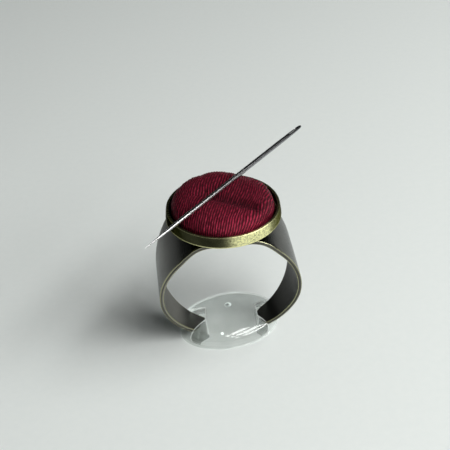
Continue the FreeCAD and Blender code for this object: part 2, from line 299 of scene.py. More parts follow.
def aged_brass(name, patina, worn, roughness, edge_tint, rubbed_and_highlit=False):
    """Antique brass: dark oxide over the faces, rubbed bright along edges and in small flecks.

    patina is the darker and the lighter oxide colour; roughness is that of the oxide and of the
    worn metal. With the flag set, an attribute lays a bright patch over the wall: partly worn
    metal, partly a painted highlight where the window's light falls.
    """
    s = Shader(name)
    cloud = s.noise(380.0, 4.0)
    fleck = s.noise(4200.0, 3.0, 0.7)
    drawn = s.noise(900.0, 2.0, 0.6, s.stretched((1.0, 14.0, 1.0)))
    edge = s.between(s.attribute("wear"), 0.16, 0.95)
    mask = s.math("ADD", edge, s.between(fleck, 0.64, 0.80, 0.0, 0.10))
    if rubbed_and_highlit:
        # Painted highlight: bright metal laid over the wall where the window's highlight falls, partly wear.
        rubbed_highlight_patch = s.math("MULTIPLY", s.attribute("rub_and_highlight"), s.between(fleck, 0.34, 0.58, 0.35, 1.0))
        mask = s.math("ADD", mask, rubbed_highlight_patch)
    mask = s.math("MULTIPLY", mask, s.between(cloud, 0.25, 0.55, 0.75, 1.0), clamp=True)
    dark = s.mix(s.between(cloud, 0.35, 0.7), patina[0], patina[1])
    # Painted light and shade from an attribute: 1 paints the metal lighter, as if lit, and -1 paints it
    # darker, as if in shade.
    painted_light = s.attribute("painted_light")
    painted_lit_or_flat_share = tuple(2.0 * part for part in patina[1])
    painted_shade_colour = tuple(0.45 * part for part in patina[0])
    dark = s.mix(s.between(painted_light, 0.0, 1.0), dark, painted_lit_or_flat_share)
    dark = s.mix(s.between(painted_light, -1.0, 0.0, 1.0, 0.0), dark, painted_shade_colour)
    s.set(Base_Color=s.mix(mask, dark, worn), Metallic=1.0, Specular_Tint=(*edge_tint, 1.0))
    rough = s.math("ADD", s.between(mask, 0.0, 1.0, roughness[0], roughness[1]),
                   s.between(drawn, 0.3, 0.7, -0.05, 0.06))
    # Inside the band the sheet is less polished.
    rough = s.math("ADD", rough, s.math("MULTIPLY", s.attribute("inside"), 0.14))
    s.set(Roughness=rough)
    grain = s.bump(drawn, 0.000012, 0.6)
    s.set(Normal=s.bump(fleck, 0.000012, 0.5, grain))
    return s


def crepe():
    """Deep crimson silk crepe: ribs across the cloth, painted lighter on their crests as highlight."""
    s = Shader("crimson_crepe")
    rib = s.attribute("rib")
    along = s.attribute("cloth_y")
    across = s.attribute("cloth_x")
    cloth = s.add("ShaderNodeCombineXYZ", {"X": across, "Y": along}).outputs[0]
    mottle = s.noise(1.1, 3.0, 0.6, cloth)
    thread = s.noise(16.0, 2.0, 0.6, cloth)
    twist = s.add("ShaderNodeTexWave", {
        "Vector": cloth, "Scale": 3.4, "Distortion": 3.0, "Detail": 2.0, "Detail Scale": 2.0},
        bands_direction="Y").outputs["Fac"]
    height = s.math("ADD", s.math("MULTIPLY", rib, 0.80), s.math("MULTIPLY", thread, 0.30))
    # Painted highlight and shade: dark in the rib valleys, light on the crests; the rib attribute also holds
    # painted shade in the crease and a painted sheen over the front roll.
    colour = s.ramp(height, [(0.12, (0.020, 0.0015, 0.004)), (0.42, (0.075, 0.004, 0.012)),
                             (0.68, (0.20, 0.009, 0.029)), (0.95, (0.46, 0.030, 0.075))])
    shade = s.mix(s.between(mottle, 0.35, 0.70), (0.62, 0.58, 0.60), (1.0, 1.0, 1.0))
    s.set(Base_Color=s.mix(1.0, colour, shade, "MULTIPLY"), Metallic=0.40)
    s.set(Roughness=s.between(thread, 0.3, 0.7, 0.54, 0.42), Specular_IOR_Level=0.16)
    s.set(Sheen_Weight=0.06, Sheen_Roughness=0.35, Sheen_Tint=(1.0, 0.25, 0.35, 1.0))
    yarn = s.bump(twist, 0.00002, 0.7)
    s.set(Normal=s.bump(thread, 0.00003, 0.7, yarn))
    return s


def steel():
    """Polished needle steel with faint lines along its length, painted darker towards the eye as shade."""
    s = Shader("needle_steel")
    across = s.attribute("turn")
    along = s.attribute("run")
    lines = s.add("ShaderNodeCombineXYZ", {
        "X": s.math("MULTIPLY", across, 9.0), "Y": s.math("MULTIPLY", along, 0.35)}).outputs[0]
    drawn = s.noise(2.0, 3.0, 0.6, lines)
    cloud = s.noise(300.0, 2.0)
    bright = s.mix(s.between(cloud, 0.35, 0.65), (0.42, 0.42, 0.42), (0.49, 0.49, 0.49))
    # Painted shade: the steel is painted darker from 12 to 24 mm on, towards the eye.
    s.set(Base_Color=s.mix(s.between(along, 12.0, 24.0), bright, (0.26, 0.26, 0.27)))
    s.set(Metallic=1.0, Roughness=s.between(drawn, 0.3, 0.7, 0.20, 0.26))
    return s


def gel():
    """Clear soft gel: painted glints on its cut lips, painted shade in places, painted glow where light
    gathers.
    """
    s = Shader("clear_gel")
    skin = s.noise(240.0, 2.0)
    cloud = s.noise(420.0, 3.0)
    # Painted glint: white and less clear along the cut lips.
    painted_lip_glint = s.between(s.attribute("painted_lip_glint"), 0.25, 0.9)
    clear = s.mix(cloud, (0.45, 0.47, 0.46), (0.61, 0.63, 0.62))
    # Painted shade greys the gel at its left front end and over its front.
    painted_shaded = s.mix(s.between(s.attribute("painted_shade"), 0.0, 1.0), clear, (0.30, 0.32, 0.30))
    s.set(Base_Color=s.mix(painted_lip_glint, painted_shaded, (0.95, 0.98, 0.96)))
    s.set(Roughness=s.between(cloud, 0.3, 0.7, 0.02, 0.06))
    s.set(Transmission_Weight=s.math("SUBTRACT", s.between(cloud, 0.3, 0.7, 0.88, 0.94),
                                     s.math("MULTIPLY", painted_lip_glint, 0.6)))
    s.set(IOR=1.41, Coat_Weight=1.0, Coat_IOR=1.45, Coat_Roughness=0.03)
    # Painted glow: emission stands in for light gathered at the far edge, along the foot and round the air
    # pockets.
    gathered = s.math("MULTIPLY", s.attribute("painted_glow"), s.between(cloud, 0.25, 0.75, 0.30, 0.42))
    s.set(Emission_Color=(0.90, 1.0, 0.95, 1.0), Emission_Strength=gathered)
    s.set(Normal=s.bump(skin, 0.00006, 0.35))
    return s


def plain_finish(name, low, high, scale, roughness, metallic=0.0, depth=0.00002, sheen=0.0):
    """Finish for the hidden pieces: mottled colour, uneven gloss and a fine grain."""
    s = Shader(name)
    grain = s.noise(scale, 4.0, 0.6)
    s.set(Base_Color=s.mix(s.between(grain, 0.3, 0.7), low, high), Metallic=metallic)
    s.set(Roughness=s.between(grain, 0.3, 0.7, roughness - 0.06, roughness + 0.08))
    s.set(Sheen_Weight=sheen, Normal=s.bump(grain, depth, 0.6))
    return s


# ---------------------------------------------------------------- band

def band_station(s):
    """Middle of the sheet and its outward direction in the XZ plane, s millimetres from x = 0."""
    if s <= SHOULDER_X:
        return (s, SHOULDER_Z + SHOULDER_RADIUS + SHEET / 2), (0.0, 1.0)
    s -= SHOULDER_X
    for x, z, radius, start, end in BAND_ARCS:
        length = radius * (end - start)
        if s <= length or end > math.pi / 2:
            angle = min(start + s / radius, end)
            out = (math.sin(angle), math.cos(angle))
            return (x + radius * out[0], z + radius * out[1]), out
        s -= length
    raise ValueError("past the end of the band")


def band_length(side):
    """Length of the sheet's middle from the middle of the crown to one end."""
    arcs = sum(radius * (end - start) for _, _, radius, start, end in BAND_ARCS)
    return SHOULDER_X + arcs - (RIGHT_END_SHORT if side > 0 else 0.0)


def edges_at(height, left, side):
    """Near and far edge of the sheet along Y at a height, left millimetres before its end."""
    levels = [0.0, AXIS_HEIGHT, SHOULDER_Z + 2.0]
    near = np.interp(height, levels, [TIP_NEAR_BREADTH, SIDE_HALF_BREADTH, CROWN_HALF_BREADTH])
    far = np.interp(height, levels, [TIP_FAR_BREADTH, SIDE_HALF_BREADTH, CROWN_HALF_BREADTH])
    near_round = 1.8 if side > 0 else 2.2
    far_round = 1.3 if side > 0 else 0.35
    near -= near_round - math.sqrt(near_round ** 2 - max(near_round - left, 0.0) ** 2)
    far -= far_round - math.sqrt(far_round ** 2 - max(far_round - left, 0.0) ** 2)
    return -float(near), float(far)


def sheet_section(near, far, thickness):
    """Rounded rectangle (y, outward) with, for each point, how worn it is: most at the corners."""
    corner, across, half = 0.08, 30, thickness / 2
    corners = [(far - corner, half - corner, 90, 0), (far - corner, corner - half, 0, -90),
               (near + corner, corner - half, -90, -180), (near + corner, half - corner, 180, 90)]
    points, wear = [], []
    for index, (y, out, start, end) in enumerate(corners):
        arc = rounded_corner((y, out), corner, start, end, 5)
        points.extend(arc)
        wear.extend([0.55, 1.0, 1.0, 1.0, 0.55])
        following = corners[(index + 1) % 4]
        goal = rounded_corner(following[:2], corner, following[2], following[3], 2)[0]
        count = across if index % 2 else 3
        for share in np.linspace(0, 1, count + 2)[1:-1]:
            point = (arc[-1][0] + (goal[0] - arc[-1][0]) * share,
                     arc[-1][1] + (goal[1] - arc[-1][1]) * share)
            points.append(point)
            from_corner = min(share, 1 - share) * math.dist(arc[-1], goal)
            wear.append(0.40 * math.exp(-from_corner / 0.04) + 0.05)
    return np.array(points), np.array(wear)


def band_half(name, side):
    """Half of the sheet, from the middle of the crown to one rounded end."""
    total = band_length(side)
    # The stations crowd together over the rounded end.
    rounded = 2.0
    stations = np.concatenate([np.linspace(0.0, total - rounded, 120)[:-1],
                               total - rounded * np.cos(np.linspace(0, np.pi / 2, 26)) ** 1.3])
    rings, wears, insides, painted_lights = [], [], [], []
    for s in stations:
        (x, z), out = band_station(s)
        left = max(total - s, 0.0)
        near, far = edges_at(z, left, side)
        thickness = SHEET if left > 0.12 else SHEET - 0.2 + 0.2 * math.sqrt(left / 0.12)
        middle = (near + far) / 2
        half = max((far - near) / 2, 0.22)
        section, wear = sheet_section(middle - half, middle + half, thickness)
        wear = np.maximum(wear, 0.8 * math.exp(-left / 0.08))
        ring = np.stack([np.full(len(section), x) + section[:, 1] * out[0],
                         section[:, 0],
                         np.full(len(section), z) + section[:, 1] * out[1]], 1)
        dent = 0.03 * ripple(ring / [1.0, 2.0, 1.0], 6.5, 11 if side > 0 else 12)
        ring += dent[:, None] * np.array([out[0], 0.0, out[1]]) * min(1.0, s / 6.0)
        ring[:, 0] *= side
        rings.append(ring)
        wears.append(wear)
        # Painted light and shade: the left half is lighter inside and darker near the cup, in its shade;
        # the right half is darker inside.
        inside = section[:, 1] < 0
        painted_shade_near_cup = -0.8 * math.exp(-((s - 9.0) / 2.2) ** 2) if side < 0 else 0.0
        painted_light_and_shade_inside = smooth(s, 5.0, 15.0) * (smooth(left, 0.5, 6.0) if side < 0 else -1.0)
        insides.append(inside)
        painted_lights.append(np.where(inside, painted_light_and_shade_inside, painted_shade_near_cup))
    marks = {"wear": wears, "inside": insides, "painted_light": painted_lights}
    half_sheet = loft(name, rings, marks, flip=side > 0)
    for polygon in half_sheet.data.polygons:
        # The end face where the two halves meet is shaded flat.
        polygon.use_smooth = abs(polygon.center.x) > 0.001 * MM
    return half_sheet


# ---------------------------------------------------------------- cup

def bezel_cup():
    """Round tray: bevelled base, wall leaning in a little and a thin rounded rim."""
    low, high = box_mm("bezel_cup")
    radius, bottom, rim = high[0] + 0.05, low[2], high[2] - 0.15
    wall, edge, lean = 0.36, 0.07, 0.16
    floor = box_mm("glue_disc")[0][2]
    profile, wear = [], []

    def go(points, amount):
        profile.extend(points)
        wear.extend([amount] * len(points))

    go([(0.01, bottom), (radius - 0.30, bottom)], 0.1)
    go([(radius - 0.20, bottom + 0.03)], 0.6)
    go([(radius - 0.07, bottom + 0.14)], 0.9)
    go([(radius, bottom + 0.24)], 0.9)
    go([(radius - 0.01, bottom + 0.32)], 0.25)
    wall_start = bottom + 0.32
    for share in np.linspace(0.08, 0.94, 14):
        go([(radius - 0.01 - lean * share ** 1.4,
             wall_start + (rim - wall_start - edge) * share)], 0.12)
    outer = radius - 0.01 - lean
    go(rounded_corner((outer - edge, rim - edge), edge, 0, 90, 6), 0.32)
    go(rounded_corner((outer - wall + edge, rim - edge), edge, 90, 180, 6), 0.28)
    go([(outer - wall, rim - 0.3)], 0.0)
    go([(radius - wall, floor + 0.1), (radius - wall - 0.1, floor), (0.01, floor)], 0.0)
    # The wall's bright patch: partly wear, partly a painted highlight.
    rubbed_and_highlit = rubbed_and_highlit_side(np.array(profile), floor)

    def wobble(r, angles, heights):
        around = np.stack([np.cos(angles) * 8 + 0 * r, np.sin(angles) * 8 + 0 * r,
                           heights + 0 * angles], -1)
        return 0.012 * ripple(around, 3.5, 21) * np.clip((r - 5.0) / 2.0, 0, 1)

    cup = lathe("cup_wall", profile, CUP_SEGMENTS, {"wear": wear, "rub_and_highlight": rubbed_and_highlit}, wobble)
    cup.data.transform(Matrix.Translation((CUP_SHIFT * MM, 0.0, 0.0)))
    return cup


def rubbed_and_highlit_side(profile, floor):
    """The outer wall's patch, from the front round to the right: rubbed-through finish and painted
    highlight.
    """
    angles = np.linspace(0, 2 * np.pi, CUP_SEGMENTS, endpoint=False)
    bearing = np.degrees(np.arctan2(np.cos(angles), -np.sin(angles)))
    # Painted highlight: brightest from the front to about 46 degrees right, where the window's highlight
    # falls.
    bare_and_highlit = rising(bearing, 1.0, 2.4) * (0.26 + 0.74 * rising(bearing, 46.5, -1.5))
    bare_and_highlit = bare_and_highlit * rising(bearing, 110.0, -8.0)
    outside = (profile[:, 0] > 7.2) & (profile[:, 1] > floor - 0.25)
    return outside[:, None] * bare_and_highlit[None, :]


# ---------------------------------------------------------------- cushion

def cushion_outline():
    """Section of the cushion (radius, height) from its top centre round to its bottom centre."""
    low, high = box_mm("fabric_cover")
    radius, top, bottom = high[0] + 0.26, high[2] - 0.08, low[2] + 0.04
    shoulder, foot, crown = 1.45, 0.75, 0.12
    flat = radius - shoulder
    dome = [(r, top - crown * (r / flat) ** 2) for r in np.linspace(0, flat, 14)[:-1]]
    upper = rounded_corner((flat, top - crown - shoulder), shoulder, 84, 0, 14)
    lower = rounded_corner((radius - foot, bottom + foot), foot, 0, -84, 8)
    tucked = [(r, bottom + 0.16 * (1 - r / 5.0) ** 2) for r in np.linspace(5.0, 0.0, 12)]
    section = np.array(dome + upper + lower + tucked)
    steps = np.hypot(*np.diff(section, axis=0).T)
    return np.concatenate([[0.0], np.cumsum(steps)]), section


def cloth_grid(side_count):
    """A square grid of cloth drawn onto the cushion.

    Gives each point's place on the flat cloth, its place on the cushion, and its way from the top.
    """
    reach, outline = cushion_outline()
    total = reach[-1]
    line = np.linspace(-1, 1, side_count)
    a, b = np.meshgrid(line, line, indexing="ij")
    x = a * np.sqrt(1 - b * b / 2)
    y = b * np.sqrt(1 - a * a / 2)
    share = np.clip(np.hypot(x, y), 0, 1)
    angle = np.arctan2(y, x)
    radius = np.interp(share * total, reach, outline[:, 0])
    height = np.interp(share * total, reach, outline[:, 1])
    place = np.stack([radius * np.cos(angle), radius * np.sin(angle), height], -1)
    flat = np.stack([share * total * np.cos(angle), share * total * np.sin(angle)], -1)
    return flat, place, share * total


def pillow_shape():
    """Cushion's general shape: a closed skin blown up as cloth round the stuffing.

    The simulation runs at thirty times full size, where the cloth solver is at home.
    """
    up = 30.0
    _, place, _ = cloth_grid(61)
    count = place.shape[0]
    middle = np.array([0.0, 0.0, box_mm("padding")[0][2]])
    slack = 0.975
    points = (place.reshape(-1, 3) - middle) * slack * up
    faces = grid_faces(count, count)
    base = new_mesh("pillow_base", points, faces)
    mesh = bmesh.new()
    mesh.from_mesh(base.data)
    bmesh.ops.remove_doubles(mesh, verts=mesh.verts, dist=0.001 * MM * up)
    bmesh.ops.recalc_face_normals(mesh, faces=mesh.faces)
    mesh.to_mesh(base.data)
    mesh.free()
    remesh = base.modifiers.new("skin", "REMESH")
    remesh.mode = "VOXEL"
    remesh.voxel_size = 0.42 * MM * up
    settle(base)
    start = vertex_places(base)
    # Where the stuffing is drawn down: the hidden underside, and a shallow crease on top.
    held = base.vertex_groups.new(name="held")
    for index, (x, y, z) in enumerate(start / MM / up):
        crease = math.exp(-((y + 0.6 * x + 0.9) / 0.9) ** 2) * float(-2.2 < x < 5.0) * 0.75
        grip = 1.0 if z < 0.2 else (crease if z > 1.0 else 0.0)
        held.add([index], grip, "REPLACE")
    cloth = base.modifiers.new("cloth", "CLOTH")
    cloth.settings.quality = 6
    cloth.settings.use_pressure = True
    cloth.settings.uniform_pressure_force = 4.0
    cloth.settings.vertex_group_mass = "held"
    cloth.settings.pin_stiffness = 0.6
    cloth.settings.effector_weights.gravity = 0.0
    for step in range(1, 21):
        bpy.context.scene.frame_set(step)
    settle(base)
    moved = vertex_places(base) - start
    far = np.linalg.norm(moved, axis=1, keepdims=True)
    cap = 0.40 * MM * up
    moved *= np.minimum(1.0, cap / np.maximum(far, 1e-9))
    places = (start + moved) / MM / up + middle
    # Bring the result back to the section's own width and height.
    wanted_low, wanted_high = place.reshape(-1, 3).min(0), place.reshape(-1, 3).max(0)
    low, high = places.min(0), places.max(0)
    places = wanted_low + (places - low) * (wanted_high - wanted_low) / (high - low)
    polygons = [tuple(p.vertices) for p in base.data.polygons]
    bpy.data.objects.remove(base)
    bpy.context.scene.frame_set(1)
    return BVHTree.FromPolygons([Vector(p) for p in places], polygons), Vector(middle)


def settle(piece):
    """Apply every modifier on the piece."""
    bpy.context.view_layer.update()
    shaped = piece.evaluated_get(bpy.context.evaluated_depsgraph_get())
    mesh = bpy.data.meshes.new_from_object(shaped)
    piece.modifiers.clear()
    piece.data = mesh


def vertex_places(piece):
    places = np.zeros(len(piece.data.vertices) * 3)
    piece.data.vertices.foreach_get("co", places)
    return places.reshape(-1, 3)


def grid_faces(rows, columns):
    return [(r * columns + c, (r + 1) * columns + c, (r + 1) * columns + c + 1, r * columns + c + 1)
            for r in range(rows - 1) for c in range(columns - 1)]


def fabric_cushion():
    """Crepe skin drawn over the stuffing, ribs and all, gathered underneath."""
    count = 311
    flat, place, reach = cloth_grid(count)
    tree, middle = pillow_shape()
    points = place.reshape(-1, 3).copy()
    centre = np.array(middle)
    for index, point in enumerate(points):
        ray = Vector(point - centre)
        hit = tree.ray_cast(middle, ray.normalized())
        if hit[0] is not None:
            points[index] = np.array(hit[0])
    points = points.reshape(count, count, 3)
    for _ in range(2):
        inner = points[1:-1, 1:-1]
        around = (points[2:, 1:-1] + points[:-2, 1:-1] + points[1:-1, 2:] + points[1:-1, :-2]) / 4
        points[1:-1, 1:-1] = inner * 0.4 + around * 0.6
    du = np.gradient(points, axis=0)
    dv = np.gradient(points, axis=1)
    normal = np.cross(du, dv)
    normal /= np.maximum(np.linalg.norm(normal, axis=2, keepdims=True), 1e-9)

    # Ribs run along the finger, a little askew, wavering and breaking up as crepe does.
    pitch, lean = 0.37, math.radians(19.0)
    across = flat[..., 0] * math.cos(lean) - flat[..., 1] * math.sin(lean)
    along = flat[..., 0] * math.sin(lean) + flat[..., 1] * math.cos(lean)
    waver = 0.14 * ripple(flat, 6.0, 31) + 0.03 * ripple(flat, 2.4, 32)
    crest = 0.5 + 0.5 * np.cos(2 * np.pi * (across / pitch + waver))
    broken = 0.86 + 0.24 * ripple(np.stack([across * 1.4, along * 0.8], -1), 0.7, 33)
    rib = np.clip(crest ** 0.9 * broken, 0.0, 1.0)
    # Gathers begin on the side and are full underneath.
    side_reach, under_reach = 7.6, 11.6
    gathered = np.clip((reach - side_reach) / (under_reach - side_reach), 0.0, 1.0)
    angle = np.arctan2(flat[..., 1], flat[..., 0])
    pucker = gathered * 0.10 * np.sin(34 * angle + 2.2 * ripple(flat, 5.0, 34))
    lumps = 0.05 * ripple(points, 4.6, 35)
    x, y = points[..., 0], points[..., 1]
    slant = y + 0.6 * x
    crease = np.exp(-((slant + 0.9) / 0.9) ** 2) * rising(x, -2.2, 0.7) * rising(x, 5.0, -0.5)
    lift = 0.085 * (rib - 0.9) + pucker + (lumps - 0.42 * crease) * (1 - gathered)
    points = points + normal * lift[..., None]
    # The back stands a little higher on both sides of the needle, which lies in a dip.
    aside = np.abs((y - NEEDLE_MIDDLE[1]) * math.cos(NEEDLE_HEADING)
                   - (x - NEEDLE_MIDDLE[0]) * math.sin(NEEDLE_HEADING))
    back = rising(y, 3.2, 1.5) * (1 - np.exp(-(aside / 3.0) ** 2))
    points[..., 2] += 0.46 * back * (1 - gathered)
    points[..., 0] += CUSHION_SHIFT

    # Painted shade darkens the ribs in the crease; a painted sheen lightens them over the front roll.
    painted_crease_shade = np.exp(-((slant + 0.7) / 0.85) ** 2) * rising(x, -1.4, 0.6) * rising(x, 4.6, -0.4)
    roll = rising(slant, -2.8, -0.5) * rising(x, -2.0, 1.2)
    rib_and_painted_light = np.clip(rib - 0.28 * painted_crease_shade + 0.15 * roll, 0.0, 1.0)
    solid = new_mesh("crepe_cushion", points.reshape(-1, 3), grid_faces(count, count),
                     {"rib": rib_and_painted_light, "cloth_x": across, "cloth_y": along})
    close_hem(solid)
    return solid


def close_hem(piece):
    """Join the cloth's edge, which the grid brings together at one point underneath."""
    mesh = bmesh.new()
    mesh.from_mesh(piece.data)
    rim = [vertex for vertex in mesh.verts if vertex.is_boundary]
    bmesh.ops.pointmerge(mesh, verts=rim, merge_co=sum((v.co for v in rim), Vector()) / len(rim))
    bmesh.ops.dissolve_degenerate(mesh, edges=mesh.edges, dist=1e-8)
    bmesh.ops.recalc_face_normals(mesh, faces=mesh.faces)
    mesh.to_mesh(piece.data)
    mesh.free()
    for polygon in piece.data.polygons:
        polygon.use_smooth = True


# ---------------------------------------------------------------- needle

def sewing_needle():
    """Long tapered point, round shank, flattened eye end with a slotted eye."""
    low, high = box_mm("needle")
    radius = (high[2] - low[2]) / 2
    centre = (low + high) / 2
    half = NEEDLE_LENGTH / 2
    round_end = 0.4 * np.cos(np.linspace(0, np.pi / 2, 12))
    stations = np.concatenate([np.linspace(0.0, 2.0, 24)[:-1], np.linspace(2.0, 32.0, 50)[:-1],
                               np.linspace(32.0, 36.0, 60)[:-1], NEEDLE_LENGTH - round_end])
    # Each share of the full radius is given at a distance from the point.
    size = np.interp(
        stations, [0.0, 0.35, 2.0, 5.0, 8.5, 31.5, 34.2, 35.6, 36.0, 36.25, NEEDLE_LENGTH],
        [0.02, 0.09, 0.36, 0.74, 1.0, 1.0, 0.94, 0.84, 0.72, 0.45, 0.10])
    flatness = np.interp(stations, [31.8, 33.2, 35.6, NEEDLE_LENGTH], [1.0, 0.80, 0.80, 0.9])
    breadth = np.interp(stations, [31.8, 33.2, 35.0, NEEDLE_LENGTH], [1.0, 1.12, 1.10, 1.0])
    columns = 28
    turn = np.linspace(0, 2 * np.pi, columns, endpoint=False)
    rings = []
    for s, scale, painted_lit_or_flat_share, wide in zip(stations, size, flatness, breadth):
        rings.append(np.stack([np.full(columns, s - half),
                               radius * scale * wide * np.cos(turn),
                               radius * scale * painted_lit_or_flat_share * np.sin(turn)], 1))
    attributes = {"run": np.repeat(stations[:, None], columns, 1),
                  "turn": np.repeat(turn[None], len(stations), 0)}
    piece = loft("steel_needle", rings, attributes, flip=True)
    eye_start, eye_end, eye_half_breadth = 33.3, 34.9, 0.13
    cut_eye(piece, eye_start - half, eye_end - half, eye_half_breadth, radius)
    place = Matrix.Translation(Vector(centre * MM)) @ Matrix.Rotation(NEEDLE_HEADING, 4, "Z")
    piece.data.transform(place)
    return piece


def cut_eye(piece, start, end, half_breadth, radius):
    """Cut the slotted eye through the needle, top to bottom."""
    steps = 12
    outline = []
    for centre, first in ((end, -90), (start, 90)):
        for degrees in np.linspace(first, first + 180, steps):
            outline.append((centre + half_breadth * math.cos(math.radians(degrees)),
                            half_breadth * math.sin(math.radians(degrees))))
    rings = [[(x, y, z) for x, y in outline] for z in (-radius * 2, radius * 2)]
    cut_away(piece, loft("eye_cutter", rings, flip=True))


# ---------------------------------------------------------------- clear foot

def clear_foot():
    """Low gel dome with a slot for each end of the band and two pockets of air inside."""
    low, high = box_mm("clear_foot")
    half_x, half_y, half_z = 7.65, (high[1] - low[1]) / 2, 2.6
    # The moulding sits a little askew and further back than the plain solid it stands for.
    skew = math.radians(9.5)
    middle_y, middle_z = (high[1] + low[1]) / 2 + 0.35, high[2] - half_z
    rows, columns = ((64, 224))
    rise = np.linspace(0, np.pi / 2, rows)[1:]
    angle = np.linspace(0, 2 * np.pi, columns, endpoint=False)
    rings = []
    for up in rise:
        long, short = half_x * math.sin(up) * np.cos(angle), half_y * math.sin(up) * np.sin(angle)
        x = long * math.cos(skew) - short * math.sin(skew)
        y = middle_y + long * math.sin(skew) + short * math.cos(skew)
        z = middle_z + half_z * math.cos(up) + 0.05 * ripple(np.stack([x, y], -1), 5.0, 41)
        rings.append(np.stack([x, y, z], -1))
    rim = rings[-1]
    # Below its widest level the gel draws in, then spreads to a thin lip where it stands.
    for height, scale in ((0.86, 0.995), (0.66, 0.98), (0.46, 0.962), (0.30, 0.952), (0.20, 0.954),
                          (0.13, 0.966), (0.08, 0.975), (0.03, 0.976), (0.0, 0.970)):
        x = rim[:, 0] * scale
        y = middle_y + (rim[:, 1] - middle_y) * scale
        rings.append(np.stack([x, y, rim[:, 2] * height / middle_z], -1))
    foot = loft("gel_foot", rings, flip=True)
    for side in (-1, 1):
        cut_away(foot, socket_for_arm(side))
    lips = sharp_places(foot)
    soften_lips(foot)
    mark_gel(foot, lips, middle_y, (half_x, half_y))
    add_bubble(foot, Vector((0.05, 2.55, 2.2)), 0.42, 0.0)
    add_bubble(foot, Vector((-1.45, -2.8, 1.95)), 0.22, 1.0)
    return foot


def socket_for_arm(side):
    """Slot in the gel for one end of the band, open above and outwards.

    The front wall leans over the metal; the back wall follows the sheet's far edge.
    """
    floor, roof, low_level, skin_level = 0.42, 4.6, 0.6, 3.2
    # Where the slot's front wall, inner end and back wall meet the gel's domed skin.
    if side < 0:
        mouth_front, inner_front, inner_back, mouth_back = (
            (-5.98, -2.2, 1.63), (-3.56, -0.47, 3.24), (-3.30, 2.0, 3.2), (-5.57, 2.75, 2.6))
        low_front, low_inner, low_back = (-3.2, -1.55, 0.6), (-3.15, 2.0, 0.6), (-5.5, 2.75, 0.6)
    else:
        mouth_front, inner_front, inner_back, mouth_back = (
            (5.96, -1.9, 1.9), (4.20, -0.60, 3.1), (3.95, 1.6, 3.2), (5.4, 2.65, 2.6))
        low_front, low_inner, low_back = (3.6, -1.55, 0.6), (3.6, 1.7, 0.6), (5.4, 2.7, 0.6)

    def wall(a, b, c):
        """The wall through three points, as x * n + y = d + z * m."""
        a, b, c = (np.array(p, float) for p in (a, b, c))
        n = np.cross(b - a, c - a)
        return n / n[1], float(n @ a / n[1])

    front, front_d = wall(mouth_front, inner_front, low_front)
    back, back_d = wall(mouth_back, inner_back, low_back)
    rings = []
    for z in np.linspace(floor, roof, 10):
        share = (z - low_level) / (skin_level - low_level)
        ring = []
        end_x = low_inner[0] + (inner_front[0] - low_inner[0]) * share
        back_x = low_inner[0] + (inner_back[0] - low_inner[0]) * share
        far_x = side * 9.0
        for x in np.linspace(far_x, end_x, 12):
            ring.append((x, front_d - front[0] * x - front[2] * z, z))
        for x in np.linspace(back_x, far_x, 12):
            ring.append((x, back_d - back[0] * x - back[2] * z, z))
        rings.append(ring)
    return loft("socket", rings, flip=side < 0)


def sharp_places(piece):
    """Points along the piece's sharp edges, as a tree to look up the nearest one in."""
    mesh = bmesh.new()
    mesh.from_mesh(piece.data)
    places = []
    for edge in mesh.edges:
        if len(edge.link_faces) == 2 and edge.calc_face_angle() > SHARP_ANGLE:
            start, end = (vertex.co.copy() for vertex in edge.verts)
            steps = max(1, int((end - start).length / (0.05 * MM)))
            places.extend(start.lerp(end, step / steps) for step in range(steps + 1))
    mesh.free()
    tree = KDTree(len(places))
    for index, place in enumerate(places):
        tree.insert(place, index)
    tree.balance()
    return tree


def mark_gel(piece, lips, middle_y, halves):
    """Store the painted glint near cut lips, the painted glow of gathered light, and the painted shade."""
    painted_lip_glints, gathered, painted_shade_values = [], [], []
    for vertex in piece.data.vertices:
        x, y, z = vertex.co / MM
        distance = lips.find(vertex.co)[2] / MM
        painted_lip_glints.append(math.exp(-(distance / 0.13) ** 2) if z > 0.8 else 0.0)
        out = math.hypot(x / halves[0], (y - middle_y) / halves[1])
        bearing = math.degrees(math.atan2(y - middle_y, x))
        # Painted glow where light gathers at the back-left edge, and a faint bright line along the foot.
        painted_glow_far_edge = smooth(out, 0.66, 0.86) * smooth(bearing, 38.0, 85.0) * (z > 0.9)
        painted_glow_foot_line = 0.2 * smooth(-z, -0.30, -0.12)
        gathered.append(max(painted_glow_far_edge, painted_glow_foot_line))
        # Painted shade: greyer at the left front end and, half as much, over the front.
        painted_shade_values.append(max(smooth(-x, 2.6, 5.2) * smooth(-y, -1.6, 0.4), 0.5 * smooth(-y, 0.6, 2.6)))
    for name, values in (("painted_lip_glint", painted_lip_glints), ("painted_glow", gathered), ("painted_shade", painted_shade_values)):
        stored = piece.data.attributes.new(name, "FLOAT", "POINT")
        stored.data.foreach_set("value", values)


def soften_lips(piece):
    """Round the sharp edges the slots leave in the gel."""
    lips = piece.modifiers.new("lips", "BEVEL")
    lips.limit_method = "ANGLE"
    lips.angle_limit = SHARP_ANGLE
    lips.width = 0.10 * MM
    lips.segments = 3
    lips.harden_normals = True
    for polygon in piece.data.polygons:
        polygon.use_smooth = True
    settle(piece)


def cut_away(piece, cutter):
    """Take the cutter's shape out of the piece."""
    cut = piece.modifiers.new("cut", "BOOLEAN")
    cut.operation = "DIFFERENCE"
    cut.object = cutter
    cut.solver = "EXACT"
    settle(piece)
    bpy.data.objects.remove(cutter)


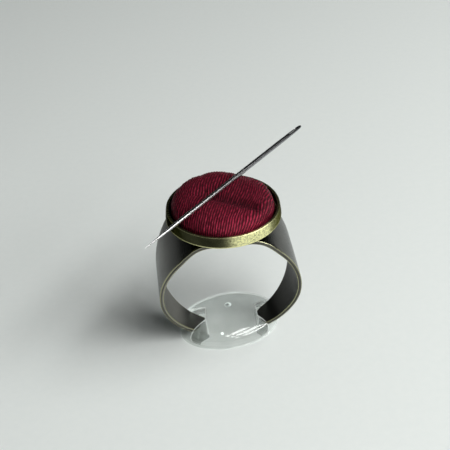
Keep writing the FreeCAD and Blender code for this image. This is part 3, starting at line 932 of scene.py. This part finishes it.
def add_bubble(foot, centre, radius, lit):
    """A pocket of air: a closed skin inside the gel that faces the air, so inwards.

    A painted highlight glows as a bright ring about its waist, and all over it where lit is 1.
    """
    mesh = bmesh.new()
    mesh.from_mesh(foot.data)
    place = Matrix.Translation(centre * MM) @ Matrix.Diagonal((1.15, 1.0, 0.85, 1.0))
    made = bmesh.ops.create_icosphere(mesh, subdivisions=3, radius=radius * MM, matrix=place)
    faces = {face for vertex in made["verts"] for face in vertex.link_faces}
    bmesh.ops.reverse_faces(mesh, faces=list(faces))
    painted_glow = mesh.verts.layers.float["painted_glow"]
    for vertex in made["verts"]:
        out = (vertex.co - centre * MM).normalized()
        # Painted highlight: the ring lies round the waist as seen from the front.
        waist = 1.0 - abs(0.58 * out.z - 0.81 * out.y)
        vertex[painted_glow] = 3.2 * max(lit, smooth(waist + 0.25 * out.x, 0.45, 0.8))
    for face in mesh.faces:
        face.smooth = True
    mesh.to_mesh(foot.data)
    mesh.free()


# ---------------------------------------------------------------- hidden pieces

def thread_ring():
    """Two plies of thread twisted round each other, drawn into a ring."""
    low, high = box_mm("gather_thread")
    ply = 0.062
    middle = (high[0] - low[0]) / 2 - 2 * ply
    height = (high[2] + low[2]) / 2
    stations, columns, twists = 240, 8, 40
    run = np.linspace(0, 2 * np.pi, stations, endpoint=False)
    turn = np.linspace(0, 2 * np.pi, columns, endpoint=False)
    points, faces = [], []
    for strand in (0, 1):
        first = len(points)
        for theta in run:
            phase = twists * theta + strand * math.pi
            across, up = ply * math.cos(phase), ply * math.sin(phase)
            for phi in turn:
                radius = middle + across + ply * math.cos(phi)
                points.append((radius * math.cos(theta), radius * math.sin(theta),
                               height + up + ply * math.sin(phi)))
        for i in range(stations):
            for j in range(columns):
                a, b = first + i * columns, first + ((i + 1) % stations) * columns
                k = (j + 1) % columns
                faces.append((a + j, b + j, b + k, a + k))
    return new_mesh("twisted_thread", points, faces)


def cotton_wadding():
    """Soft stuffing under the crepe: the padding's own outline, drawn in and lumpy."""
    low, high = box_mm("padding")
    magnet_high = box_mm("magnet")[1]
    hollow = magnet_high[0] + 0.02
    profile = [(hollow, low[2] + 0.02), (high[0] - 0.25, low[2] + 0.02)]
    profile += [(high[0] - 0.35, low[2] + 0.5), (high[0] - 0.8, high[2] - 1.2),
                (high[0] - 1.7, high[2] - 0.85), (3.6, high[2] - 0.72), (0.01, high[2] - 0.70)]
    outer = np.array(profile[1:])
    steps = np.concatenate([[0], np.cumsum(np.hypot(*np.diff(outer, axis=0).T))])
    fine = np.linspace(0, steps[-1], 40)
    skin = np.stack([np.interp(fine, steps, outer[:, 0]), np.interp(fine, steps, outer[:, 1])], 1)
    inner = [(0.01, magnet_high[2] + 0.02), (hollow, magnet_high[2] + 0.02)]
    ring = [tuple(p) for p in inner] + [profile[0]] + [tuple(p) for p in skin]

    def wobble(radius, angles, heights):
        where = np.stack([radius * np.cos(angles), radius * np.sin(angles),
                          heights + 0 * angles], -1)
        return 0.06 * ripple(where, 1.3, 51) * (radius > hollow + 0.1)

    return lathe("cotton_wadding", ring, 96, None, wobble)


# ---------------------------------------------------------------- assembly

band_brass = aged_brass("aged_brass", ((0.082, 0.080, 0.074), (0.120, 0.115, 0.105)),
                        (0.46, 0.45, 0.29), (0.21, 0.24), (0.72, 0.72, 0.72))
# The cup's brass carries a bright patch on its wall that is partly a painted highlight.
cup_brass = aged_brass("aged_brass_cup", ((0.022, 0.023, 0.012), (0.052, 0.052, 0.028)),
                       (1.0, 0.97, 0.52), (0.26, 0.38), (0.25, 0.25, 0.22), rubbed_and_highlit=True)

for label, side in (("left", -1), ("right", 1)):
    half = cover_with(band_half("band_" + label, side), band_brass)
    replaced = ["band_arm_" + label] + (["band_crown"] if side < 0 else [])
    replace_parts(half, *replaced)
    bend_start = Vector((2.6 * side, 0.0, 20.6)) * MM
    bend_end = Vector((9.4 * side, 0.0, 13.5)) * MM
    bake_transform(half, "ring", "arm_" + label, start=bend_start, end=bend_end)

cup = cover_with(bezel_cup(), cup_brass)
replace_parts(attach(cup, "ring"), "bezel_cup")

cushion = cover_with(fabric_cushion(), crepe())
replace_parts(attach(cushion, "ring"), "fabric_cover")

wadding_look = plain_finish("cotton_wadding", (0.70, 0.66, 0.58), (0.86, 0.84, 0.78), 3000.0,
                            0.9, depth=0.00006, sheen=0.4)
wadding = cover_with(cotton_wadding(), wadding_look)
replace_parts(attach(wadding, "ring"), "padding")

thread_look = plain_finish("red_thread", (0.16, 0.008, 0.02), (0.34, 0.03, 0.06), 9000.0, 0.8,
                           sheen=0.3)
thread = cover_with(thread_ring(), thread_look)
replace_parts(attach(thread, "ring"), "gather_thread")

needle = cover_with(sewing_needle(), steel())
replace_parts(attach(needle, "needle"), "needle")

foot = cover_with(clear_foot(), gel())
foot.visible_shadow = False
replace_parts(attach(foot, "foot"), "clear_foot")

kept_nodes = {
    "solder_disc": plain_finish("solder", (0.22, 0.21, 0.18), (0.40, 0.39, 0.35), 2500.0, 0.5,
                                metallic=1.0),
    "glue_disc": plain_finish("glue", (0.70, 0.62, 0.42), (0.82, 0.76, 0.58), 1200.0, 0.25),
    "backing_disc": plain_finish("white_card", (0.70, 0.69, 0.66), (0.84, 0.83, 0.80), 4000.0,
                                 0.7),
    "magnet": plain_finish("plated_magnet", (0.60, 0.60, 0.61), (0.72, 0.72, 0.74), 1800.0, 0.22,
                           metallic=1.0, depth=0.000005),
}
for name, finish in kept_nodes.items():
    cover_with(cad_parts[name], finish)


# ---------------------------------------------------------------- floor, light and camera

def pale_floor():
    s = Shader("pale_paper")
    grain = s.noise(900.0, 4.0, 0.6)
    s.set(Base_Color=s.mix(s.between(grain, 0.3, 0.7),
                           (0.765, 0.805, 0.790), (0.785, 0.822, 0.806)))
    s.set(Roughness=s.between(grain, 0.3, 0.7, 0.75, 0.9))
    s.set(Normal=s.bump(grain, 0.00003, 0.3))
    # The floor lies a hair above the foot's underside.
    reach, level = 1200.0, 0.01
    corners = [(-reach, -reach, level), (reach, -reach, level), (reach, reach, level),
               (-reach, reach, level)]
    floor = new_mesh("floor", corners, [(0, 1, 2, 3)], smooth=False)
    cover_with(floor, s)


def area_light(name, place, target, size, power, colour=(1, 1, 1)):
    lamp = bpy.data.lights.new(name, "AREA")
    lamp.shape = "RECTANGLE"
    lamp.size, lamp.size_y = size[0] * MM, size[1] * MM
    lamp.energy = power
    lamp.color = colour
    light = bpy.data.objects.new(name, lamp)
    place, target = Vector(place) * MM, Vector(target) * MM
    light.location = place
    light.rotation_euler = (target - place).to_track_quat("-Z", "Y").to_euler()
    bpy.context.scene.collection.objects.link(light)
    return light


def studio_light():
    """A broad barred window, halfway up on the front right, and a dim room."""
    target = Vector((0.0, 0.0, 12.0))
    heading, window_distance, window_power = math.radians(-36.0), 450.0, 1.12
    towards = Vector((math.cos(heading) * 0.70, math.sin(heading) * 0.70, 0.714)).normalized()
    level = towards.cross(Vector((0, 0, 1))).normalized()
    upright = level.cross(towards).normalized()
    # Three rows of panes; an upright bar parts off a narrow column at one end.
    columns, pane_height = ((-60.0, 440.0), (245.0, 70.0)), 74.0
    window_width = sum(width for _, width in columns)
    for column, (across, width) in enumerate(columns):
        for row, rise in enumerate((-125.0, 0.0, 125.0)):
            place = target + towards * window_distance + level * across + upright * rise
            area_light("pane_%d_%d" % (column + 1, row + 1), place,
                       place - towards * window_distance, (width, pane_height),
                       window_power * width / window_width, (1.0, 1.0, 0.985))
    # An L-shaped skylight above lights glossy surfaces only.
    skylight_distance, skylight_power = 400.0, 8.0
    for index, (start, end, width) in enumerate((
            ((-0.12, 0.30, 0.95), (-0.12, -0.12, 0.98), 16.0),
            ((-0.14, -0.17, 0.98), (0.02, -0.20, 0.97), 34.0))):
        start = Vector(start).normalized() * skylight_distance
        end = Vector(end).normalized() * skylight_distance
        run, facing = (end - start).normalized(), -((start + end) / 2).normalized()
        size = ((end - start).length, width)
        glint = area_light("skylight_%d" % (index + 1), (start + end) / 2, target, size,
                           skylight_power * math.pi * size[0] * size[1] * MM * MM)
        glint.rotation_euler = Matrix((run, facing.cross(run), -facing)).transposed().to_euler()
        glint.visible_diffuse = False
    world = bpy.data.worlds.new("room")
    bpy.context.scene.world = world
    world.use_nodes = True
    background = world.node_tree.nodes["Background"]
    background.inputs["Color"].default_value = (0.90, 1.0, 0.98, 1.0)
    background.inputs["Strength"].default_value = 0.03


def camera():
    """Looking down at the ring from the front, a little from its left, slightly tilted."""
    azimuth, elevation, roll = math.radians(-5.2), math.radians(35.3), math.radians(-2.9)
    distance, aim_right, aim_up = 150.0, -0.37, 7.31
    back = Vector((math.sin(azimuth) * math.cos(elevation),
                   -math.cos(azimuth) * math.cos(elevation), math.sin(elevation)))
    right = Vector((math.cos(azimuth), math.sin(azimuth), 0.0))
    up = back.cross(right)
    tilted_right = right * math.cos(roll) + up * math.sin(roll)
    tilted_up = up * math.cos(roll) - right * math.sin(roll)
    middle = Vector((0.0, 0.0, AXIS_HEIGHT))
    place = (middle + back * distance + tilted_right * aim_right + tilted_up * aim_up) * MM
    turn = Matrix((tilted_right, tilted_up, back)).transposed()
    data = bpy.data.cameras.new("camera")
    data.lens = 83.3
    data.sensor_width = 36.0
    data.clip_start = 0.005
    data.clip_end = 10.0
    viewer = bpy.data.objects.new("camera", data)
    viewer.matrix_world = Matrix.Translation(place) @ turn.to_4x4()
    bpy.context.scene.collection.objects.link(viewer)
    bpy.context.scene.camera = viewer


pale_floor()
studio_light()
camera()
bpy.context.scene.view_settings.view_transform = "Standard"
